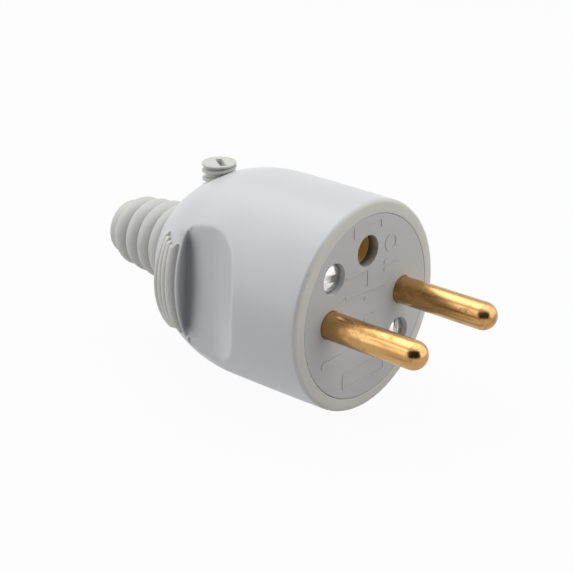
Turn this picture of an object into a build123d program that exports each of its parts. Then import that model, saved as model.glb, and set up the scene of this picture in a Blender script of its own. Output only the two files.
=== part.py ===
from build123d import *
import math
import os

# Two-pin mains plug with an earth contact hole and a straight, ribbed cable outlet.
# Origin: centre of the contact face, midway between the two pins.
# The pins point along -Y, the body runs back along +Y, the earth contact is above, on +Z.
# "Depth" is the distance behind the contact face, along +Y. All sizes are in millimetres.

# Clearances
slip = 0.05            # radial gap of a piece that slides or turns in its hole
snug = 0.03            # radial gap of a piece that is pressed or screwed home
loose = 0.15           # radial gap of a piece that only passes through a hole

# Standard contact sizes
pin_d = 4.8
pin_spacing = 19.0
pin_reach = 19.0
pin_hole_gap = 0.08
pin_neck_step = 0.2
pin_seat_step = 0.3
pin_seat_sink = 0.6
earth_height = 10.0
earth_bore_d = 4.95

# Housing, one hollow moulding turned about the Y axis
face_d = 36.7
belly_swell = 0.2
belly_depth = 21.0
bulkhead_depth = 38.5
bulkhead_thick = 3.0
neck_lip = 0.6
wall = 2.2
rim_width = 2.35
rim_round = 0.7
neck_edge_round = 0.2

# Finger scoops in the sides of the housing
scoop_half_width = 13.8
scoop_run = 13.5
scoop_flat_length = 5.15
scoop_sweep_r = 10.5

# Ribbed ears behind the scoops: one wide rib, then fine ones, each a flat arc seen from behind
ear_stand = 3.0
rim_lip = 0.4
wide_rib_width = 1.8
fine_rib_width = 0.68
fine_rib_gap = 0.25
fine_rib_count = 3
rib_groove = 0.55
front_groove = 1.0
wide_rib_arc_r = 20.0
last_rib_arc_r = 14.0
wide_rib_half_height = 7.6
last_rib_half_height = 10.0
rib_round = 0.2

# Contact carrier, the insert that closes the front
carrier_plate = 4.0
skirt_wall = 1.6
earth_recess = 2.0
earth_hole_d = 5.38

# Flanges that hold the contacts between the carrier and the retainer
flange_r = 4.0
flange_thick = 1.5
flange_play = 0.1

# Retainer plate and its insulating fins
retainer_thick = 2.0
retainer_web = 0.6
fin_thick = 1.0
fin_offset = 4.5
fin_height = 14.0
fin_reach = 6.9

# Terminals
barrel_r = 3.4
barrel_length = 8.5
wire_hole_r = 1.6
wire_hole_depth = 6.0
terminal_screw_back = 3.8

# Earth socket tube
earth_tube_wall = 0.62
earth_bore_depth = 14.5
earth_barrel_length = 7.5
earth_slot_width = 0.8
earth_slot_margin = 1.2
spring_ring_width = 1.6
spring_ring_thick = 0.6
spring_ring_groove = 0.2
spring_ring_gap = 1.0

# Metal screws
thread_r = 1.5
terminal_head_r = 2.2
terminal_head_thick = 1.6
terminal_screw_reach = 2.6
terminal_screw_stand = 0.6
face_screw_edge = 4.41
face_screw_turn = 138.16
face_head_r = 2.62
face_head_thick = 2.0
face_head_sink = 0.45
face_head_gap = 0.08
face_screw_length = 10.0
face_screw_point = 0.5
screw_slot_width = 0.8
screw_slot_depth = 0.8
face_slot_width = 1.2
head_round = 0.5
upper_slot_turn = -12.0
lower_slot_turn = 75.0

# Threaded inserts and the housing columns that hold them
insert_r = 2.2
insert_length = 6.0
insert_run_out = 1.5
column_r = 3.3
column_web = 1.6
pad_r = 3.2

# Cable clamp screw, its boss and the cable rest below it
clamp_crest_r = 3.05
clamp_root_r = 2.45
clamp_pitch = 1.45
clamp_crest_width = 0.45
clamp_stand = 2.65
clamp_length = 13.0
clamp_head_thick = 0.5
clamp_slot_length = 3.5
clamp_slot_width = 1.1
clamp_slot_depth = 1.6
clamp_slot_turn = 58.0
clamp_boss_wall = 1.9
clamp_boss_bottom = 9.2
rest_width = 9.0
rest_top = -3.0
rest_groove_r = 4.3
rest_length = 5.9
rest_gap = 0.3

# Bend sleeve, the soft ribbed cable outlet
sleeve_bore_r = 4.1
sleeve_flange_r = 9.0
sleeve_flange_thick = 2.0
sleeve_collar_r = 7.55
ring_count = 4
ring_pitch = 3.4
first_ring_gap = 2.1
first_ring_r = 7.7
last_ring_r = 6.5
ring_height = 0.95
end_ring_length = 2.0
end_ring_r = 5.2
sleeve_end_round = 0.6

# Raised plain marks on the contact face: frames, a ring, bars and thin rules
mark_height = 0.12
mark_line = 0.35
frame_corner = 0.4
frame_inner_corner = 0.2
frames = [(0.0, 14.0, 7.4, 2.1), (-0.8, -11.7, 11.2, 3.1)]
ring_mark = (6.2, 9.7, 1.6)
long_bar = (-7.6, -6.9, 8.4, 1.5)
stacked_bars = [(6.4, 6.6, 4.2, 0.8), (6.4, 5.3, 4.2, 0.8)]
middle_bars = [(0.6, 1.7, 3.0, 0.8), (0.6, -2.0, 3.0, 0.8)]
bars = [long_bar] + stacked_bars + middle_bars
rules = [(-3.0, 6.8, 5.0, 0.0), (-0.6, 3.1, 10.4, -4.0), (0.1, 5.2, 2.8, 90.0)]

# Sizes that follow from the ones above
face_r = face_d / 2
belly_r = face_r + belly_swell
belly_d = 2 * belly_r
housing_length = bulkhead_depth + bulkhead_thick
pin_r = pin_d / 2
pin_x = pin_spacing / 2
pin_neck_r = pin_r - pin_neck_step
pin_seat_r = pin_r + pin_seat_step
earth_bore_r = earth_bore_d / 2
earth_tube_r = earth_bore_r + earth_tube_wall
front_bore_r = face_r - rim_width
carrier_r = front_bore_r - slip
skirt_inner_r = carrier_r - skirt_wall
retainer_front = carrier_plate + flange_thick + flange_play
retainer_back = retainer_front + retainer_thick
retainer_r = skirt_inner_r - slip
barrel_lobe_r = barrel_r + loose + retainer_web
earth_lobe_r = earth_tube_r + loose + retainer_web
flange_back = carrier_plate + flange_thick
barrel_back = flange_back + barrel_length
terminal_screw_depth = barrel_back - terminal_screw_back
scoop_wall_depth = barrel_back + scoop_run
earth_back = earth_recess + earth_bore_depth + earth_barrel_length
earth_screw_depth = earth_back - terminal_screw_back
spring_ring_depth = (retainer_back + earth_recess + earth_bore_depth) / 2
face_screw_r = carrier_r - face_screw_edge
face_screw_x = -face_screw_r * math.cos(math.radians(face_screw_turn))
face_screw_z = face_screw_r * math.sin(math.radians(face_screw_turn))
face_counterbore_r = face_head_r + face_head_gap
face_seat_depth = face_head_sink + face_head_thick
sleeve_front = bulkhead_depth - sleeve_flange_thick
neck_r = sleeve_collar_r + slip
neck_outer_r = neck_r + neck_lip
dome_run = housing_length - belly_depth
dome_drop = belly_r - neck_outer_r
dome_arc_r = (dome_run**2 + dome_drop**2) / (2 * dome_drop)
clamp_depth = sleeve_front - loose - clamp_crest_r
rest_back = sleeve_front - rest_gap
rest_front = rest_back - rest_length
first_ring_depth = housing_length + first_ring_gap
ring_taper = (first_ring_r - last_ring_r) / (ring_count - 1)
rings_start = first_ring_depth - ring_pitch / 2
rings_end = rings_start + ring_count * ring_pitch
sleeve_end = rings_end + end_ring_length
outside = 2 * belly_d


def at_depth(depth):
    """Plane across the plug at a depth behind the face, with X to the right and Z up."""
    return Plane.XZ.offset(-depth)


def lengthwise(x, z):
    """Plane for a turned profile about the Y axis line through x, z: radius, then depth."""
    return Plane(origin=(x, 0, z), x_dir=(1, 0, 0), z_dir=(0, 0, 1))


def turning_axis(x, z):
    """Axis line along Y through x, z."""
    return Axis((x, 0, z), (0, 1, 0))


def dome_radius(depth, inset=0.0):
    """Radius of the dome behind the belly, or of its inner face at an inset."""
    drop = depth - belly_depth
    return belly_r - dome_arc_r + math.sqrt((dome_arc_r - inset) ** 2 - drop**2)


def dome_depth(radius, inset=0.0):
    """Depth at which the dome, or its inner face at an inset, has a radius."""
    rise = radius - belly_r + dome_arc_r
    return belly_depth + math.sqrt((dome_arc_r - inset) ** 2 - rise**2)


def front_radius(depth):
    """Radius of the shallow arc between the face and the belly."""
    swell = belly_r - face_r
    arc_r = (belly_depth**2 + swell**2) / (2 * swell)
    return belly_r - arc_r + math.sqrt(arc_r**2 - (belly_depth - depth) ** 2)


def scoop_outline(inset, back_depth):
    """Plan of a left scoop, seen from above, drawn as a closed line from x, y points."""
    floor_x = scoop_half_width - inset
    flat_start = scoop_wall_depth - scoop_flat_length
    sweep_r = scoop_sweep_r + inset
    sweep_x = scoop_half_width + scoop_sweep_r
    half = math.sqrt(0.5) * sweep_r
    Line((-floor_x, back_depth), (-floor_x, flat_start))
    ThreePointArc(
        (-floor_x, flat_start),
        (-sweep_x + half, flat_start - half),
        (-sweep_x, flat_start - sweep_r),
    )
    Polyline(
        (-sweep_x, flat_start - sweep_r),
        (-outside, flat_start - sweep_r),
        (-outside, back_depth),
        (-floor_x, back_depth),
    )


# Tool for the outside of the two finger scoops
with BuildPart() as scoops:
    with BuildSketch(Plane.XY):
        with BuildLine():
            scoop_outline(0, scoop_wall_depth)
        make_face()
        mirror(about=Plane.YZ)
    extrude(amount=outside, both=True)

# Tool for the inner faces that keep a wall behind each scoop
with BuildPart() as scoop_walls:
    with BuildSketch(Plane.XY):
        with BuildLine():
            scoop_outline(wall, outside)
        make_face()
        mirror(about=Plane.YZ)
    extrude(amount=outside, both=True)

# Ribs of the ears: where each starts, its width, its arc seen from behind and its half-height
fine_rib_pitch = fine_rib_width + fine_rib_gap
wide_rib_start = scoop_wall_depth + rim_lip + front_groove
fine_ribs_start = wide_rib_start + wide_rib_width + fine_rib_gap
ear_ribs = [(wide_rib_start, wide_rib_width, wide_rib_arc_r, wide_rib_half_height)]
for i in range(fine_rib_count):
    share = (i + 1) / fine_rib_count
    rib_arc_r = wide_rib_arc_r + share * (last_rib_arc_r - wide_rib_arc_r)
    half_height = wide_rib_half_height + share * (last_rib_half_height - wide_rib_half_height)
    ear_ribs.append((fine_ribs_start + i * fine_rib_pitch, fine_rib_width, rib_arc_r, half_height))
ear_reach = scoop_half_width + ear_stand
ear_back = ear_ribs[-1][0] + fine_rib_width


def ear_section(reach, arc_r, half_height):
    """Section of a left ear seen from behind: its outer side is an arc that reaches out to -reach."""
    with Locations((arc_r - reach, 0)):
        Circle(arc_r)
    Rectangle(reach, 2 * half_height, align=(Align.MAX, Align.CENTER), mode=Mode.INTERSECT)


# Tool that trims the dome down to the groove floors of the ears
with BuildPart() as ear_trim:
    with BuildSketch(at_depth(scoop_wall_depth)):
        Rectangle(outside, 2 * wide_rib_half_height, align=(Align.MAX, Align.CENTER))
        with Locations((wide_rib_arc_r - ear_reach, 0)):
            Circle(wide_rib_arc_r, mode=Mode.SUBTRACT)
    extrude(amount=-rim_lip)
    with BuildSketch(at_depth(scoop_wall_depth + rim_lip)):
        Rectangle(outside, 2 * wide_rib_half_height, align=(Align.MAX, Align.CENTER))
        with Locations((wide_rib_arc_r - ear_reach + rib_groove, 0)):
            Circle(wide_rib_arc_r, mode=Mode.SUBTRACT)
    extrude(amount=scoop_wall_depth + rim_lip - ear_back)
    mirror(about=Plane.YZ)

# Ribbed ears, most of which is buried in the housing
with BuildPart() as ears:
    for start, width, rib_arc_r, half_height in ear_ribs:
        with BuildSketch(at_depth(start)):
            ear_section(ear_reach, rib_arc_r, half_height)
        extrude(amount=-width)
    crests = ears.edges().filter_by(GeomType.CIRCLE)
    fillet(crests, rib_round)
    for start, width, rib_arc_r, half_height in ear_ribs:
        with BuildSketch(at_depth(wide_rib_start)):
            ear_section(ear_reach - rib_groove, rib_arc_r, half_height)
        extrude(amount=wide_rib_start - start - width)
    mirror(about=Plane.YZ)

# Hollow of the housing, less the columns, boss and cable rest that stand in it
with BuildPart() as hollow:
    straight_end = dome_depth(front_bore_r, wall)
    back_r = dome_radius(bulkhead_depth, wall)
    bend_depth = (straight_end + bulkhead_depth) / 2
    with BuildSketch(Plane.XY):
        with BuildLine():
            Polyline((0, 0), (front_bore_r, 0), (front_bore_r, straight_end))
            ThreePointArc(
                (front_bore_r, straight_end),
                (dome_radius(bend_depth, wall), bend_depth),
                (back_r, bulkhead_depth),
            )
            Polyline((back_r, bulkhead_depth), (0, bulkhead_depth), (0, 0))
        make_face()
    revolve(axis=Axis.Y)
    add(scoop_walls.part, mode=Mode.SUBTRACT)
    with BuildSketch(at_depth(retainer_back)):
        for side in (-1, 1):
            with Locations((side * face_screw_x, -side * face_screw_z)):
                Circle(column_r)
            angle = math.degrees(math.atan2(-side * face_screw_z, side * face_screw_x))
            with Locations(Location((0, 0), angle)):
                with Locations((math.hypot(face_screw_x, face_screw_z), 0)):
                    Rectangle(front_bore_r, column_web, align=(Align.MIN, Align.CENTER))
    extrude(amount=retainer_back - bulkhead_depth, mode=Mode.SUBTRACT)
    with BuildSketch(Plane.XY.offset(clamp_boss_bottom)):
        with Locations((0, clamp_depth)):
            Circle(clamp_crest_r + slip + clamp_boss_wall)
    extrude(amount=belly_r, mode=Mode.SUBTRACT)
    with BuildSketch(at_depth(rest_front)):
        with Locations((0, rest_top)):
            Rectangle(rest_width, belly_r, align=(Align.CENTER, Align.MAX))
        Circle(rest_groove_r, mode=Mode.SUBTRACT)
    extrude(amount=rest_front - rest_back, mode=Mode.SUBTRACT)
    with BuildSketch(at_depth(sleeve_front)):
        Circle(sleeve_flange_r + loose)
    extrude(amount=-sleeve_flange_thick)

# Housing: bell-shaped moulding with finger scoops, ears, screw columns and clamp boss
with BuildPart() as housing:
    dome_middle = (belly_depth + housing_length) / 2
    with BuildSketch(Plane.XY):
        with BuildLine():
            Line((0, 0), (face_r, 0))
            ThreePointArc(
                (face_r, 0),
                (front_radius(belly_depth / 2), belly_depth / 2),
                (belly_r, belly_depth),
            )
            ThreePointArc(
                (belly_r, belly_depth),
                (dome_radius(dome_middle), dome_middle),
                (neck_outer_r, housing_length),
            )
            Polyline((neck_outer_r, housing_length), (0, housing_length), (0, 0))
        make_face()
    revolve(axis=Axis.Y)
    fillet(housing.edges().filter_by(GeomType.CIRCLE).sort_by(Axis.Y)[0], rim_round)
    fillet(housing.edges().filter_by(GeomType.CIRCLE).sort_by(Axis.Y)[-1], neck_edge_round)
    add(scoops.part, mode=Mode.SUBTRACT)
    add(ear_trim.part, mode=Mode.SUBTRACT)
    add(ears.part)
    add(hollow.part, mode=Mode.SUBTRACT)
    with BuildSketch(at_depth(housing_length)):
        Circle(neck_r)
    extrude(amount=housing_length - bulkhead_depth, mode=Mode.SUBTRACT)
    with BuildSketch(at_depth(retainer_back)):
        with Locations((-face_screw_x, face_screw_z), (face_screw_x, -face_screw_z)):
            Circle(insert_r + snug)
    extrude(amount=-insert_length, mode=Mode.SUBTRACT)
    with BuildSketch(at_depth(retainer_back + insert_length)):
        with Locations((-face_screw_x, face_screw_z), (face_screw_x, -face_screw_z)):
            Circle(thread_r + loose)
    extrude(amount=-insert_run_out, mode=Mode.SUBTRACT)
    with BuildSketch(Plane.XY):
        with Locations((0, clamp_depth)):
            Circle(clamp_crest_r + slip)
    extrude(amount=outside, mode=Mode.SUBTRACT)

# Contact carrier: face plate, skirt, screw pads and raised marks in one moulding
with BuildPart() as contact_carrier:
    with BuildSketch(at_depth(0)):
        Circle(carrier_r)
    extrude(amount=-carrier_plate)
    with BuildSketch(at_depth(carrier_plate)):
        Circle(carrier_r)
        Circle(skirt_inner_r, mode=Mode.SUBTRACT)
        with Locations((-face_screw_x, face_screw_z), (face_screw_x, -face_screw_z)):
            Circle(pad_r)
        with Locations((-pin_x, 0), (pin_x, 0), (0, earth_height)):
            Circle(flange_r + loose, mode=Mode.SUBTRACT)
    extrude(amount=carrier_plate - retainer_front)
    with BuildSketch(at_depth(retainer_front)):
        Circle(carrier_r)
        Circle(skirt_inner_r, mode=Mode.SUBTRACT)
        with Locations((-pin_x, 0), (pin_x, 0)):
            Circle(barrel_lobe_r + slip, mode=Mode.SUBTRACT)
        with Locations((0, earth_height)):
            Circle(earth_lobe_r + slip, mode=Mode.SUBTRACT)
    extrude(amount=-retainer_thick)
    with BuildSketch(at_depth(retainer_back)):
        with Locations((-pin_x, 0), (pin_x, 0)):
            Circle(pin_r + pin_hole_gap)
        with Locations((0, earth_height)):
            Circle(earth_hole_d / 2)
        with Locations((-face_screw_x, face_screw_z), (face_screw_x, -face_screw_z)):
            Circle(thread_r + loose)
    extrude(amount=retainer_back, mode=Mode.SUBTRACT)
    with BuildSketch(at_depth(carrier_plate)):
        with Locations((-pin_x, 0), (pin_x, 0)):
            Circle(pin_seat_r + snug)
    extrude(amount=carrier_plate - pin_seat_sink, mode=Mode.SUBTRACT)
    with BuildSketch(at_depth(carrier_plate)):
        with Locations((0, earth_height)):
            Circle(earth_tube_r + snug)
    extrude(amount=carrier_plate - earth_recess, mode=Mode.SUBTRACT)
    with BuildSketch(at_depth(face_seat_depth)):
        with Locations((-face_screw_x, face_screw_z), (face_screw_x, -face_screw_z)):
            Circle(face_counterbore_r)
    extrude(amount=face_seat_depth, mode=Mode.SUBTRACT)
    with BuildSketch(at_depth(0)):
        for x, z, width, height in frames:
            with Locations((x, z)):
                RectangleRounded(width, height, frame_corner)
                inner_width = width - 2 * mark_line
                inner_height = height - 2 * mark_line
                RectangleRounded(inner_width, inner_height, frame_inner_corner, mode=Mode.SUBTRACT)
        with Locations(ring_mark[:2]):
            Circle(ring_mark[2])
            Circle(ring_mark[2] - mark_line, mode=Mode.SUBTRACT)
        for x, z, width, height in bars:
            with Locations((x, z)):
                SlotOverall(width, height)
        for x, z, length, turn in rules:
            with Locations(Location((x, z), turn)):
                Rectangle(length, mark_line)
    extrude(amount=mark_height)

# Retainer: plate behind the contact flanges, with two insulating fins between the terminals
with BuildPart() as contact_retainer:
    with BuildSketch(at_depth(retainer_front)):
        Circle(retainer_r)
        with Locations((-pin_x, 0), (pin_x, 0)):
            Circle(barrel_lobe_r)
        with Locations((0, earth_height)):
            Circle(earth_lobe_r)
    extrude(amount=-retainer_thick)
    with BuildSketch(at_depth(retainer_back)):
        with Locations((-fin_offset, 0), (fin_offset, 0)):
            Rectangle(fin_thick, fin_height)
        with Locations((-face_screw_x, face_screw_z), (face_screw_x, -face_screw_z)):
            Circle(column_r + loose, mode=Mode.SUBTRACT)
    extrude(amount=-fin_reach)
    with BuildSketch(at_depth(retainer_front)):
        with Locations((-pin_x, 0), (pin_x, 0)):
            Circle(barrel_r + loose)
        with Locations((0, earth_height)):
            Circle(earth_tube_r + loose)
        with Locations((-face_screw_x, face_screw_z), (face_screw_x, -face_screw_z)):
            Circle(thread_r + loose)
    extrude(amount=-retainer_thick, mode=Mode.SUBTRACT)


def live_pin(x, screw_side):
    """Turned pin with a domed tip, a flange and a terminal barrel; its screw enters from one side."""
    with BuildPart() as pin:
        tip_centre = pin_r - pin_reach
        half = math.sqrt(0.5) * pin_r
        with BuildSketch(lengthwise(x, 0)):
            with BuildLine():
                ThreePointArc((0, -pin_reach), (half, tip_centre - half), (pin_r, tip_centre))
                Polyline(
                    (pin_r, tip_centre),
                    (pin_r, 0),
                    (pin_neck_r, 0),
                    (pin_neck_r, pin_seat_sink),
                    (pin_seat_r, pin_seat_sink),
                    (pin_seat_r, carrier_plate),
                    (flange_r, carrier_plate),
                    (flange_r, flange_back),
                    (barrel_r, flange_back),
                    (barrel_r, barrel_back),
                    (0, barrel_back),
                    (0, -pin_reach),
                )
            make_face()
        revolve(axis=turning_axis(x, 0))
        with BuildSketch(at_depth(barrel_back)):
            with Locations((x, 0)):
                Circle(wire_hole_r)
        extrude(amount=wire_hole_depth, mode=Mode.SUBTRACT)
        with BuildSketch(Plane.XY):
            with Locations((x, terminal_screw_depth)):
                Circle(thread_r + snug)
        extrude(amount=screw_side * belly_r, mode=Mode.SUBTRACT)
    return pin.part


# Earth socket: bored tube with two long slots, a flange and a terminal barrel
with BuildPart() as earth_socket:
    bore_back = earth_recess + earth_bore_depth
    with BuildSketch(lengthwise(0, earth_height)):
        with BuildLine():
            Polyline(
                (0, bore_back),
                (earth_bore_r, bore_back),
                (earth_bore_r, earth_recess),
                (earth_tube_r, earth_recess),
                (earth_tube_r, carrier_plate),
                (flange_r, carrier_plate),
                (flange_r, flange_back),
                (earth_tube_r, flange_back),
                (earth_tube_r, spring_ring_depth - spring_ring_width / 2),
                (earth_tube_r - spring_ring_groove, spring_ring_depth - spring_ring_width / 2),
                (earth_tube_r - spring_ring_groove, spring_ring_depth + spring_ring_width / 2),
                (earth_tube_r, spring_ring_depth + spring_ring_width / 2),
                (earth_tube_r, bore_back),
                (barrel_r, bore_back),
                (barrel_r, earth_back),
                (0, earth_back),
                (0, bore_back),
            )
        make_face()
    revolve(axis=turning_axis(0, earth_height))
    with BuildSketch(at_depth(retainer_back + earth_slot_margin)):
        with Locations((0, earth_height)):
            Rectangle(2 * barrel_r, earth_slot_width)
    extrude(amount=retainer_back + 2 * earth_slot_margin - bore_back, mode=Mode.SUBTRACT)
    with BuildSketch(at_depth(earth_back)):
        with Locations((0, earth_height)):
            Circle(wire_hole_r)
    extrude(amount=wire_hole_depth, mode=Mode.SUBTRACT)
    with BuildSketch(Plane.XY.offset(earth_height)):
        with Locations((0, earth_screw_depth)):
            Circle(thread_r + snug)
    extrude(amount=-belly_r, mode=Mode.SUBTRACT)

# Open spring ring that squeezes the slotted earth tube
with BuildPart() as earth_spring_ring:
    with BuildSketch(at_depth(spring_ring_depth - spring_ring_width / 2 + snug)):
        with Locations((0, earth_height)):
            Circle(earth_tube_r - spring_ring_groove + snug + spring_ring_thick)
            Circle(earth_tube_r - spring_ring_groove + snug, mode=Mode.SUBTRACT)
        with Locations((0, earth_height + earth_tube_r)):
            Rectangle(spring_ring_gap, 2 * earth_tube_r, mode=Mode.SUBTRACT)
    extrude(amount=2 * snug - spring_ring_width)


def terminal_screw(x, z, depth, side):
    """Slotted terminal screw that stands in a barrel at x, z, depth and points to its axis."""
    head_base = z + side * (barrel_r + terminal_screw_stand)
    foot = z + side * (barrel_r - terminal_screw_reach)
    with BuildPart() as screw:
        with BuildSketch(Plane.XY.offset(head_base)):
            with Locations((x, depth)):
                Circle(terminal_head_r)
        extrude(amount=side * terminal_head_thick)
        with BuildSketch(Plane.XY.offset(foot)):
            with Locations((x, depth)):
                Circle(thread_r)
        extrude(amount=head_base - foot)
        with BuildSketch(Plane.XY.offset(head_base + side * terminal_head_thick)):
            with Locations((x, depth)):
                Rectangle(2 * terminal_head_r, screw_slot_width)
        extrude(amount=-side * screw_slot_depth, mode=Mode.SUBTRACT)
    return screw.part


def face_screw(x, z, slot_turn):
    """Slotted pan-head screw that holds the carrier to the housing at x, z."""
    thread_end = face_seat_depth + face_screw_length
    with BuildPart() as screw:
        with BuildSketch(at_depth(face_head_sink)):
            with Locations((x, z)):
                Circle(face_head_r)
        extrude(amount=-face_head_thick)
        fillet(screw.edges().filter_by(GeomType.CIRCLE).sort_by(Axis.Y)[0], head_round)
        with BuildSketch(at_depth(face_seat_depth)):
            with Locations((x, z)):
                Circle(thread_r)
        extrude(amount=-face_screw_length)
        chamfer(screw.edges().filter_by(GeomType.CIRCLE).sort_by(Axis.Y)[-1], face_screw_point)
        with BuildSketch(at_depth(face_head_sink)):
            with Locations(Location((x, z), slot_turn)):
                Rectangle(2 * face_head_r, face_slot_width)
        extrude(amount=-screw_slot_depth, mode=Mode.SUBTRACT)
    return screw.part


def screw_insert(x, z):
    """Threaded insert pressed into a column of the housing."""
    with BuildPart() as insert:
        with BuildSketch(at_depth(retainer_back)):
            with Locations((x, z)):
                Circle(insert_r)
                Circle(thread_r + snug, mode=Mode.SUBTRACT)
        extrude(amount=-insert_length)
    return insert.part


# Cable clamp screw: headless moulded screw with bold thread ridges and a closed slot
with BuildPart() as cable_clamp_screw:
    clamp_top = dome_radius(clamp_depth) + clamp_stand
    clamp_foot = clamp_top - clamp_length
    ridge_span = clamp_length - clamp_head_thick
    ridge_count = int(ridge_span / clamp_pitch)
    with BuildSketch(Plane.XY.offset(clamp_foot)):
        with Locations((0, clamp_depth)):
            Circle(clamp_root_r)
    extrude(amount=clamp_length)
    with BuildSketch(Plane.XY.offset(clamp_top)):
        with Locations((0, clamp_depth)):
            Circle(clamp_crest_r)
    extrude(amount=-clamp_head_thick)
    for i in range(ridge_count):
        crest = clamp_top - clamp_head_thick - (i + 1) * clamp_pitch + clamp_crest_width
        with BuildSketch(Plane.XZ.offset(-clamp_depth)):
            with BuildLine():
                Polyline(
                    (0, crest - clamp_pitch / 2),
                    (clamp_root_r, crest - clamp_pitch / 2),
                    (clamp_crest_r, crest - clamp_crest_width / 2),
                    (clamp_crest_r, crest + clamp_crest_width / 2),
                    (clamp_root_r, crest + clamp_pitch / 2),
                    (0, crest + clamp_pitch / 2),
                    close=True,
                )
            make_face()
        revolve(axis=Axis((0, clamp_depth, 0), (0, 0, 1)))
    with BuildSketch(Plane.XY.offset(clamp_top)):
        with Locations(Location((0, clamp_depth), clamp_slot_turn)):
            Rectangle(clamp_slot_length, clamp_slot_width)
    extrude(amount=-clamp_slot_depth, mode=Mode.SUBTRACT)

# Bend sleeve: soft tube with an inner flange, a collar in the neck and tapering rings
with BuildPart() as bend_sleeve:
    with BuildSketch(Plane.XY):
        with BuildLine():
            Polyline(
                (sleeve_bore_r, sleeve_front),
                (sleeve_flange_r, sleeve_front),
                (sleeve_flange_r, bulkhead_depth),
                (sleeve_collar_r, bulkhead_depth),
                (sleeve_collar_r, rings_start),
                (first_ring_r + ring_taper / 2 - ring_height, rings_start),
            )
            for i in range(ring_count):
                start = rings_start + i * ring_pitch
                crest_r = first_ring_r - i * ring_taper
                ThreePointArc(
                    (crest_r + ring_taper / 2 - ring_height, start),
                    (crest_r, start + ring_pitch / 2),
                    (crest_r - ring_taper / 2 - ring_height, start + ring_pitch),
                )
            Polyline(
                (last_ring_r - ring_taper / 2 - ring_height, rings_end),
                (end_ring_r, rings_end),
                (end_ring_r, sleeve_end),
                (sleeve_bore_r, sleeve_end),
                (sleeve_bore_r, sleeve_front),
            )
        make_face()
    revolve(axis=Axis.Y)
    fillet(bend_sleeve.edges().group_by(Axis.Y)[-1].sort_by(SortBy.LENGTH)[-1], sleeve_end_round)

pieces = {
    "housing": housing.part,
    "contact_carrier": contact_carrier.part,
    "contact_retainer": contact_retainer.part,
    "left_pin": live_pin(-pin_x, -1),
    "right_pin": live_pin(pin_x, 1),
    "earth_socket": earth_socket.part,
    "earth_spring_ring": earth_spring_ring.part,
    "left_terminal_screw": terminal_screw(-pin_x, 0, terminal_screw_depth, -1),
    "right_terminal_screw": terminal_screw(pin_x, 0, terminal_screw_depth, 1),
    "earth_terminal_screw": terminal_screw(0, earth_height, earth_screw_depth, -1),
    "upper_face_screw": face_screw(-face_screw_x, face_screw_z, upper_slot_turn),
    "lower_face_screw": face_screw(face_screw_x, -face_screw_z, lower_slot_turn),
    "upper_screw_insert": screw_insert(-face_screw_x, face_screw_z),
    "lower_screw_insert": screw_insert(face_screw_x, -face_screw_z),
    "cable_clamp_screw": cable_clamp_screw.part,
    "bend_sleeve": bend_sleeve.part,
}
os.makedirs("parts", exist_ok=True)
for name, piece in pieces.items():
    piece.label = name
    export_step(piece, f"parts/{name}.step")
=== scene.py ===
import math

import bpy
import numpy as np
from mathutils import Matrix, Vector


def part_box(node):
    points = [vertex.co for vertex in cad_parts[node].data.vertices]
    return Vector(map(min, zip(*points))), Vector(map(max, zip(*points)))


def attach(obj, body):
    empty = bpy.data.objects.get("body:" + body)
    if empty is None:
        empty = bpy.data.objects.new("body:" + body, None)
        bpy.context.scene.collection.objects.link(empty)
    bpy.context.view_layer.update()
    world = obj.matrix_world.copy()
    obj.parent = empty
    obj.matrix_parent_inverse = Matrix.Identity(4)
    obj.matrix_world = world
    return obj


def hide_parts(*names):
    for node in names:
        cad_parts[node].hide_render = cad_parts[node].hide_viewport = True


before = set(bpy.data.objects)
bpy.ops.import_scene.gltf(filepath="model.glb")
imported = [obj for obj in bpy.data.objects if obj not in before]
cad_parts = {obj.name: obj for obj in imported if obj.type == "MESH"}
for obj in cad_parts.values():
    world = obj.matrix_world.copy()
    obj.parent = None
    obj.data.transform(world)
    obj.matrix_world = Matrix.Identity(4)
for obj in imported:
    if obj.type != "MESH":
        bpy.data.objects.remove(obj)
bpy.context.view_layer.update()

# Looks of a two-pin mains plug. Housing, clamp boss, bend sleeve, clamp screw, pins and face screws are
# surfaces worked out with numpy in millimetres; the other pieces keep their CAD shapes and get a material.
# X is to the right, -Y out along the pins, +Z up to the earth hole. "Depth" is the distance behind the
# contact face, along +Y.
MM = 0.001


def box_mm(node):
    """Lowest and highest corner of a CAD node, in millimetres."""
    low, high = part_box(node)
    return np.array(low) / MM, np.array(high) / MM


# Sizes read from the frame
housing_high = box_mm("housing")[1]
belly_r = housing_high[2]
housing_length = housing_high[1]
carrier_r = box_mm("contact_carrier")[1][2]
pin_low, pin_high = box_mm("right_pin")
pin_x = (pin_low[0] + pin_high[0]) / 2
pin_reach = -pin_low[1]
pin_back = pin_high[1]
clamp_low, clamp_high = box_mm("cable_clamp_screw")
clamp_depth = (clamp_low[1] + clamp_high[1]) / 2
clamp_top = clamp_high[2]
clamp_foot = clamp_low[2]
clamp_crest_r = (clamp_high[0] - clamp_low[0]) / 2
sleeve_low, sleeve_high = box_mm("bend_sleeve")
sleeve_front = sleeve_low[1]
sleeve_end = sleeve_high[1]
sleeve_flange_r = sleeve_high[0]
screw_low, screw_high = box_mm("upper_face_screw")
face_head_r = (screw_high[0] - screw_low[0]) / 2

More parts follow.
